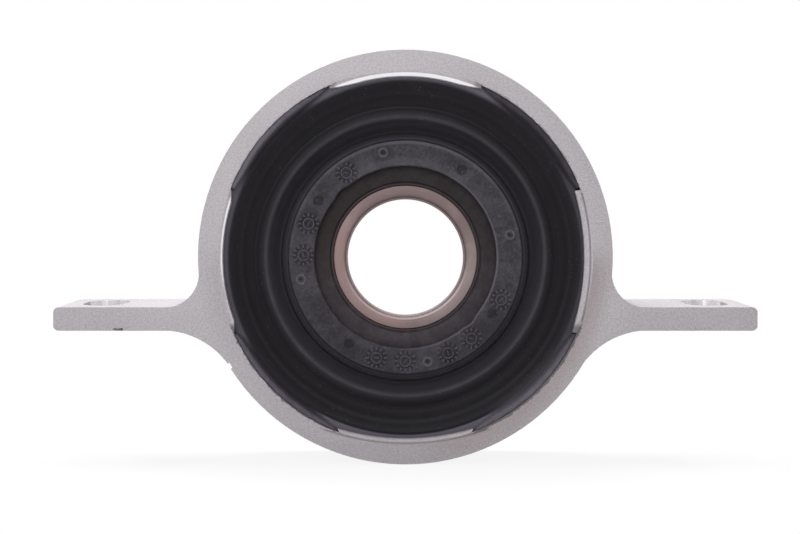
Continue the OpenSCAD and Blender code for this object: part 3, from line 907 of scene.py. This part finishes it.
# Painted highlights and bounce light from each face's number, and painted darker below zero
lightened = kept_light * (0.75 + pits * 0.5) * (1 - lip_root) * (1 - left_low * 0.85)
darkened = (0 - kept_light) * (0.6 + pits * 0.8)
from_chip = alloy.distance(CHIP_AT) + (pits - 0.5)
from_scratch = alloy.distance(SCRATCH_AT, SCRATCH_WEIGHTS) + (pits - 0.5) * 0.8
scratch = alloy.fall(from_chip, 0.18, 0.42) + alloy.fall(from_scratch, 0.22, 0.42)
lit_and_darkened_metal = alloy.mix(darkened, alloy.mix(lightened, blasted, PAINTED_LIGHT_METAL), DARKENED_METAL)
print("alloy nodes with wear:", len(alloy.tree.nodes))

# %% [markdown]
# ## Cracks and lines at the lips
#
# The right lip was pressed down harder, and a fine crack runs along its outer edge, painted dark as the
# shade in it. The bottom lip has a fainter one with a painted highlight line inside it, and the left lip
# has a thin line of painted shade where it leaves the seat. They are too fine for the mesh, so each is a
# narrow band of distances from a point: beyond the shaft for the flat lips, as their edges are, and the
# shaft itself for the left one.

# %% Draw the cracks and lines
in_front = alloy.fall(alloy.y, -11, -9)
from_left = alloy.radius(x=-LIP_CENTRE)
near_level = alloy.fall(alloy.size(alloy.z), 15.5, 16.5)
right_arc = alloy.band(from_left, 59.3, 59.5, 59.75, 60.0) * alloy.step(alloy.x, 42.0, 42.8)
right_crack = right_arc * near_level * (0.4 + pits * 0.8)
left_arc = alloy.band(from_shaft, 45.8, 45.95, 46.05, 46.2) * alloy.fall(alloy.x, -42.5, -41.5)
left_line = left_arc * (0.5 + pits)
from_above = alloy.radius(z=LIP_CENTRE)
on_low_lip = alloy.fall(alloy.z, -42.8, -42.0)
low_crack = alloy.band(from_above, 59.6, 59.8, 60.1, 60.3) * on_low_lip
low_lip_highlight = alloy.band(from_above, 59.1, 59.3, 59.4, 59.6) * on_low_lip
# Painted shade in the cracks and where the left lip leaves the seat
crack_shade = right_crack * 0.7 + left_line * 0.2 + low_crack * 0.5
print("alloy nodes with lines:", len(alloy.tree.nodes))

# %% [markdown]
# ## Darker metal around the seat and below
#
# Beside the tabs the metal is painted darker along the seat, most of all below. The ring's lower half is
# darker, more so towards the sides, with a brown tint on the right, and the wings are a little darker
# than the ring. The dark edge at the seat is ragged, so a noise is added to the radius before it is
# measured.

# %% Darken the seat and the lower ring
LINE_DARK, HIGHLIGHT_LINE = rgb(0.08, 0.07, 0.08), rgb(0.6, 0.56, 0.55)
BROWN_TINT = rgb(0.19, 0.09, 0.055)

lower_half = alloy.fall(alloy.z, -5, 5)
right_half = alloy.step(alloy.x, 0, 20)
seat_dark_width = right_half * 0.1 + lower_half * (0.1 + right_half * 0.2)
ragged = from_shaft + (alloy.noise(700, 2.0, 0.6) - 0.5) * 1.2 - seat_dark_width
off_middle = alloy.size(alloy.x)
by_tabs = alloy.step(off_middle, 16.5, 18.0) * alloy.step(alloy.size(alloy.z), 16.0, 17.5)
seat_dark = alloy.fall(ragged, 46.3, 46.5) * by_tabs * (0.5 + lower_half * 0.2)
on_ring = alloy.band(from_shaft, 46.1, 46.4, 46.6, 53.0)
by_seat = alloy.band(from_shaft, 46.1, 46.4, 46.4, 48.2)
on_wing = alloy.step(off_middle, 50, 58) * alloy.fall(alloy.y, -14.8, -14.6)
ring_lower_dark = on_ring * (lower_half * off_middle * 0.0025 + right_half * 0.05)
lower_dark = ring_lower_dark + by_seat * lower_half * 0.05 + on_wing * 0.055
brown = on_ring * lower_half * (0.02 + right_half * 0.24) * in_front
# A painted highlight line inside the bottom lip
lit_metal = alloy.mix(low_lip_highlight * in_front * 0.35, lit_and_darkened_metal, HIGHLIGHT_LINE)
browned_metal = alloy.mix(brown, lit_metal, BROWN_TINT)
darkness = (crack_shade + seat_dark + lower_dark + scratch * 0.8) * in_front
alloy.fill(alloy.shader, {
    "Base Color": alloy.mix(darkness, browned_metal, LINE_DARK),
    "Metallic": 0.25 + lightened * 0.1,
    "Roughness": 0.52 + alloy_tone * 0.14 - lightened * 0.2,
    "Normal": alloy.bump(grain * 0.6 + pits * 0.6 - scratch - right_crack, 0.35, 0.12),
})
alloy.paint(casting)
print("alloy nodes:", len(alloy.tree.nodes))

# %% [markdown]
# ## Moulded rubber
#
# The bush is black natural rubber. Its outer folds are almost dull black and the inner ones are painted
# lighter, as painted light and shade from fold to fold. Below the crest at the top and on the shelf at
# the bottom it is painted darker as shade, and the lower slope and the channel wall are painted paler as
# light. The flat face over the carrier is greyer, because handling and a thin bloom show there first.
# The radius from the shaft decides which of the three a place is, and two noises, a fine one for the
# matt skin and a broad one for smears, keep each of them uneven.

# %% The rubber from fold to fold
FOLD_DARK, FOLD_LIGHT = rgb(0.0092, 0.0081, 0.0099), rgb(0.0136, 0.0120, 0.0146)
INNER_FOLDS_DARK, INNER_FOLDS_LIGHT = rgb(0.0275, 0.0248, 0.0294), rgb(0.040, 0.036, 0.0428)
LINE_AND_LIGHT_GREY = rgb(0.085, 0.0765, 0.09)

bush_rubber = Finish("bush_rubber_black")
skin = bush_rubber.noise(1500, 3.0, 0.6)
smear = bush_rubber.noise(160, 4.0, 0.6)
bush_r = bush_rubber.radius()
low_side = bush_rubber.fall(bush_rubber.z, -20, 25)
folds = bush_rubber.mix(smear, FOLD_DARK, FOLD_LIGHT)
inner_folds_lit = bush_rubber.mix(smear, INNER_FOLDS_DARK, INNER_FOLDS_LIGHT)
# The inner folds painted lighter than the outer ones, as painted light and shade
folds_lit_by_radius = bush_rubber.mix(bush_rubber.fall(bush_r, 34.5, 36.5), folds, inner_folds_lit)
on_shelf = bush_rubber.band(bush_r, 29.4, 29.7, 30.1, 30.4)
on_wall = bush_rubber.band(bush_r, 30.2, 30.5, 30.9, 31.3)
on_slope = bush_rubber.band(bush_r, 31.8, 33.2, 34.2, 35.0)
below_crest = bush_rubber.band(bush_r, 33.4, 34.1, 34.3, 35.0)
# Painted shade below the crest at the top and on the shelf at the bottom
shaded = below_crest * (1 - low_side) * 0.5 + on_shelf * low_side * 0.6
shaded_folds = bush_rubber.mix(shaded, folds_lit_by_radius, folds)
# Painted light on the lower slope and on the channel wall
lit_slopes = bush_rubber.mix(on_slope * low_side * 0.33 + on_wall * 0.25, shaded_folds, LINE_AND_LIGHT_GREY)
print("rubber nodes for the folds:", len(bush_rubber.tree.nodes))

# %% [markdown]
# ## Marks, dust, wear and painted light on the rubber
#
# A pale line on the bellows crest shows where the halves of the mould met, and it is painted paler below
# as a highlight. On the flat face the raised marks are painted pale, as wear and painted highlight, and
# the sunk ones dark, as painted shade, so the finish reads the height that each point keeps. A few pale
# specks of dust lie everywhere, and the painted sheen of the rim and the tabs and the painted highlights
# of the face and the opening come last, from their own number.

# %% Mark and speck the rubber, and paint its sheen
BLOOM_DARK, BLOOM_LIGHT = rgb(0.027, 0.0243, 0.029), rgb(0.070, 0.063, 0.0752)
WORN_LIT_MARK, SPECK = rgb(0.16, 0.146, 0.17), rgb(0.2, 0.19, 0.21)
SHEEN_GREY = rgb(0.13, 0.12, 0.145)
MOULD_LINE_UP = 0.3

from_line = bush_rubber.radius(z=MOULD_LINE_UP)
# The mould line, painted paler below as a highlight
mould_line_highlight = bush_rubber.band(from_line, 34.2, 34.8, 35.0, 35.6) * smear * (0.3 + low_side * 0.5)
lined = bush_rubber.mix(mould_line_highlight, lit_slopes, LINE_AND_LIGHT_GREY)
on_face = bush_rubber.fall(bush_r, 28.9, 29.5)
patches = bush_rubber.step(skin * 0.5 + smear * 0.5, 0.34, 0.66)
bloom = bush_rubber.mix(patches, BLOOM_DARK, BLOOM_LIGHT)
bloomed = bush_rubber.mix(on_face * (0.45 + smear * 0.6), lined, bloom)
mark_up = bush_rubber.kept("mark")
# Raised marks painted pale as wear and painted highlight, sunk ones dark as painted shade
worn_and_lit = bush_rubber.mix(bush_rubber.step(mark_up, 0.04, 0.3) * 0.55, bloomed, WORN_LIT_MARK)
sunk_shaded = bush_rubber.mix(bush_rubber.fall(mark_up, -0.25, -0.04) * 0.7, worn_and_lit, folds)
specks = bush_rubber.step(bush_rubber.noise(1900, 1.0, 0.5) + smear * 0.2, 0.80, 0.85)
specked = bush_rubber.mix(specks * (0.12 + on_face * 0.3), sunk_shaded, SPECK)
# The painted sheen of the rim and tabs and the painted highlights of the face
sheen_amount = bush_rubber.kept("painted_sheen") * (0.4 + skin * 0.5 + smear * 0.4)
bush_rubber.fill(bush_rubber.shader, {
    "Base Color": bush_rubber.mix(sheen_amount, specked, SHEEN_GREY),
    "Roughness": 0.5 - smear * 0.12,
    "Specular IOR Level": 0.1,
    "Normal": bush_rubber.bump(skin + smear * 0.6, 0.25, 0.1),
})
bush_rubber.paint(bush)
print("rubber nodes:", len(bush_rubber.tree.nodes))

# %% [markdown]
# ## Seal rubber
#
# The seal is browner than the bush and blotched, most of all on its left, and its lower half is dustier
# than its upper half. Its thin lip is painted paler, as a painted highlight. The recipe is the bush's
# with other colours: noises for the blotches, and soft steps of the place for the sides.

# %% The seal finish
SEAL_DARK, SEAL_LIGHT = rgb(0.0175, 0.0141, 0.0156), rgb(0.031, 0.0256, 0.0279)
SEAL_BROWN, SEAL_DUST = rgb(0.0225, 0.0172, 0.0160), rgb(0.072, 0.0605, 0.0715)
SEAL_LIP_HIGHLIGHT = rgb(0.085, 0.073, 0.076)

seal_rubber = Finish("seal_rubber_brown_black")
seal_skin = seal_rubber.noise(1200, 3.0, 0.6)
seal_smear = seal_rubber.noise(220, 4.0, 0.65)
blotch = seal_rubber.step(seal_rubber.noise(420, 3.0, 0.65), 0.36, 0.64)
clean_seal = seal_rubber.mix(seal_smear * 0.4 + blotch * 0.6, SEAL_DARK, SEAL_LIGHT)
brown_side = seal_rubber.fall(seal_rubber.x - seal_smear * 20, -32, -12)
stained_seal = seal_rubber.mix(brown_side * 0.6, clean_seal, SEAL_BROWN)
seal_dust = seal_rubber.fall(seal_rubber.z, -22, 10) * (0.25 + seal_skin * 0.4 + blotch * 0.35)
dusted_seal = seal_rubber.mix(seal_dust, stained_seal, SEAL_DUST)
# A painted highlight along the seal's thin lip
on_seal_lip = seal_rubber.fall(seal_rubber.radius(), 18.6, 18.85)
seal_rubber.fill(seal_rubber.shader, {
    "Base Color": seal_rubber.mix(on_seal_lip * 0.5, dusted_seal, SEAL_LIP_HIGHLIGHT),
    "Roughness": 0.58 - seal_smear * 0.16,
    "Specular IOR Level": 0.12,
    "Normal": seal_rubber.bump(seal_skin + seal_smear, 0.25, 0.1),
})
for seal in seals:
    seal_rubber.paint(seal)
print("seal nodes:", len(seal_rubber.tree.nodes))

# %% [markdown]
# ## Bearing steel
#
# The ring's face is ground, so it has fine circular lines, and a film of preserving oil gives it a
# pinkish brown tint with a few darker patches. The tint is strongest at the lower left, and the ring is
# lighter there and a little lighter on its lower half. The lower right and the lower edge of the bore
# are painted paler, as painted highlights. A noise that is stretched around the shaft makes the lines:
# it reads the radius instead of the place.

# %% The steel finishes
LINES_PER_MM = 5.2


def steel_finish(name, dark, light, film_tint, highlight_tint, rough, line_depth):
    """Ground or pressed steel with circular lines, an oily film and painted highlights."""
    steel = Finish(name)
    steel_r = steel.radius()
    rings = steel.node("ShaderNodeCombineXYZ", {}, {"X": steel_r, "Y": steel.y})
    lines = steel.noise(LINES_PER_MM, 2.0, 0.6, at=rings)
    oil = steel.noise(150, 4.0, 0.6)
    in_bore = steel.fall(steel_r, 15.05, 15.4)
    edge_highlight = steel.fall(steel_r, 15.6, 16.0)
    below = steel.fall(steel.z, -12, 0)
    low_left = steel.fall(steel.x * 0.90 + steel.z * 0.44, -16, -1)
    low_right = steel.step(steel.x * 0.85 - steel.z * 0.53, 8, 17)
    tone = steel.step(oil * 0.7 + lines * 0.3, 0.35, 0.65) + low_left * 0.8 + below * 0.12 - 0.5
    oiled = steel.mix(low_left * 0.6, steel.mix(tone, dark, light), film_tint)
    # Painted highlights on the lower edge of the bore and at the lower right
    painted_highlight = (edge_highlight * 0.7 - in_bore * 0.4) * below + low_right * 0.3
    steel.fill(steel.shader, {
        "Base Color": steel.mix(painted_highlight, oiled, highlight_tint),
        "Metallic": 1.0,
        "Roughness": rough + oil * 0.15 + lines * 0.05 + in_bore * 0.1,
        "Normal": steel.bump(lines, line_depth, 0.03),
    })
    print(name, "nodes:", len(steel.tree.nodes))
    return steel


ground_steel = steel_finish(
    "bearing_steel_oiled", rgb(0.150, 0.111, 0.112), rgb(0.236, 0.177, 0.176),
    film_tint=rgb(0.232, 0.153, 0.153), highlight_tint=rgb(0.36, 0.31, 0.305), rough=0.46, line_depth=0.3,
)
pressed_steel = steel_finish(
    "pressed_steel_zinc", rgb(0.42, 0.42, 0.43), rgb(0.58, 0.58, 0.60),
    film_tint=rgb(0.52, 0.52, 0.53), highlight_tint=rgb(0.6, 0.6, 0.62), rough=0.32, line_depth=0.12,
)
polished_steel = steel_finish(
    "ball_steel_polished", rgb(0.55, 0.55, 0.57), rgb(0.68, 0.68, 0.70),
    film_tint=rgb(0.62, 0.62, 0.64), highlight_tint=rgb(0.7, 0.7, 0.72), rough=0.08, line_depth=0.0,
)

# %% [markdown]
# ## Painting the steel
#
# The outer ring is ground like the inner one. The carrier and the cage are pressed from sheet, and the
# balls are polished. They share one recipe with other colours and roughness, because most of them are
# hidden. The CAD nodes among them keep their shape and only get a finish.

# %% Paint the steel pieces
cage_nodes = [node for name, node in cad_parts.items() if name.startswith("cage")]
ball_nodes = [node for name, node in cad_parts.items() if name.startswith("ball")]
for piece in (inner_ring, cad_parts["bearing_outer_ring"]):
    ground_steel.paint(piece)
for piece in (carrier, *cage_nodes):
    pressed_steel.paint(piece)
for piece in ball_nodes:
    polished_steel.paint(piece)
print("cage pieces painted:", len(cage_nodes), "balls painted:", len(ball_nodes))

# %% [markdown]
# ## Floor
#
# The photograph is a cut-out on white. A floor lit until it is white would throw that light back at the
# part. So the floor is white only to the camera and to shiny surfaces, and plain grey to every other
# ray. Near the part a little of the floor's own shading shows, as a faint shadow.

# %% Lay the floor
FLOOR_AT, FLOOR_HALF = -51.2, 6000
SHADOW_SHARE = 0.12
WHITE, FLOOR_GREY = rgb(1, 1, 1), rgb(0.85, 0.85, 0.85)

floor_mesh = bmesh.new()
bmesh.ops.create_grid(floor_mesh, x_segments=2, y_segments=2, size=FLOOR_HALF * MM)
bmesh.ops.translate(floor_mesh, verts=floor_mesh.verts, vec=(0, 0, FLOOR_AT * MM))
floor = put_in_scene(floor_mesh, "floor", crisp_angle=30)


def seen_directly(nodes):
    """1 for camera, glossy and transmission rays."""
    outputs = nodes.node("ShaderNodeLightPath", {}, {}).output.node.outputs
    camera_ray = Socket(nodes, outputs["Is Camera Ray"])
    glossy_ray = Socket(nodes, outputs["Is Glossy Ray"])
    through_ray = Socket(nodes, outputs["Is Transmission Ray"])
    return nodes.node("ShaderNodeClamp", {}, {"Value": camera_ray + glossy_ray + through_ray})


pale = Finish("floor_pale")
pale.fill(pale.shader, {"Base Color": FLOOR_GREY, "Roughness": 0.9})
shaded_floor = Socket(pale, pale.shader.outputs[0])
white_floor = pale.node("ShaderNodeEmission", {}, {"Color": WHITE, "Strength": 1.0})
near_part = pale.fall(pale.distance((0.0, 0.0, 0.0), (1.0, 1.0, 0.0)), 50, 140)
whiteness = seen_directly(pale) * (1 - near_part * SHADOW_SHARE)
shown = pale.node("ShaderNodeMixShader", {}, {0: whiteness, 1: shaded_floor, 2: white_floor})
pale.fill(pale.tree.nodes["Material Output"], {"Surface": shown})
pale.paint(floor)
print("floor at", FLOOR_AT, "mm")

# %% [markdown]
# ## World
#
# The world gets the same treatment: full white where it is seen, and a low even light for the rest, so
# that no side of the part is ever black.

# %% Whiten the world
AMBIENT = 0.2

world = bpy.data.worlds.new("studio")
bpy.context.scene.world = world
world.use_nodes = True
sky = Nodes(world.node_tree)
sky_strength = AMBIENT + seen_directly(sky) * (1 - AMBIENT)
sky.fill(sky.tree.nodes["Background"], {"Color": WHITE, "Strength": sky_strength})
print("ambient light:", AMBIENT)

# %% [markdown]
# ## Lamps
#
# Two soft lamps light the part. One is close to the camera, a little above and to the left, which makes
# the top of the ring brighter than the bottom. The other hangs above and behind, so it lights the tops
# of the wings and leaves the inside of the ring alone. Small lamps would leave hard glints on the
# bevels, so both are broad squares.

# %% Hang the lamps
def soft_lamp(name, at, size, power):
    """A square lamp that points at the bearing, with its place and size in millimetres."""
    lamp = bpy.data.lights.new(name, "AREA")
    lamp.size = size * MM
    lamp.energy = power
    holder = bpy.data.objects.new(name, lamp)
    holder.location = Vector(at) * MM
    holder.rotation_euler = (-holder.location).to_track_quat("-Z", "Y").to_euler()
    bpy.context.scene.collection.objects.link(holder)
    print(name, "at", at, "power", power)


soft_lamp("front_softbox", (-45, -330, 150), size=280, power=0.61)
soft_lamp("top_softbox", (-30, 100, 450), size=300, power=3.3)

# %% [markdown]
# ## Camera
#
# The camera looks straight along the shaft, because both rims of the bore lie almost on one centre. That
# centre is a few pixels from the middle of the frame. Turning the camera would tilt the part, so the
# lens is shifted instead.

# %% Set the camera up
FRAME_PX = 800
SHIFT_X_PX, SHIFT_Y_PX = -5.4, -10
CAMERA_AWAY = 375
SENSOR_W, LENS = 36, 65.7
CLIP_START = 10

camera_data = bpy.data.cameras.new("photo_camera")
camera_data.sensor_width = SENSOR_W
camera_data.lens = LENS
camera_data.shift_x = SHIFT_X_PX / FRAME_PX
camera_data.shift_y = SHIFT_Y_PX / FRAME_PX
camera_data.clip_start = CLIP_START * MM
camera = bpy.data.objects.new("photo_camera", camera_data)
camera.location = (0, -CAMERA_AWAY * MM, 0)
camera.rotation_euler = (math.pi / 2, 0, 0)
bpy.context.scene.collection.objects.link(camera)
bpy.context.scene.camera = camera
bpy.context.scene.view_settings.view_transform = "Standard"
print("camera", CAMERA_AWAY, "mm away, lens", LENS, "mm")
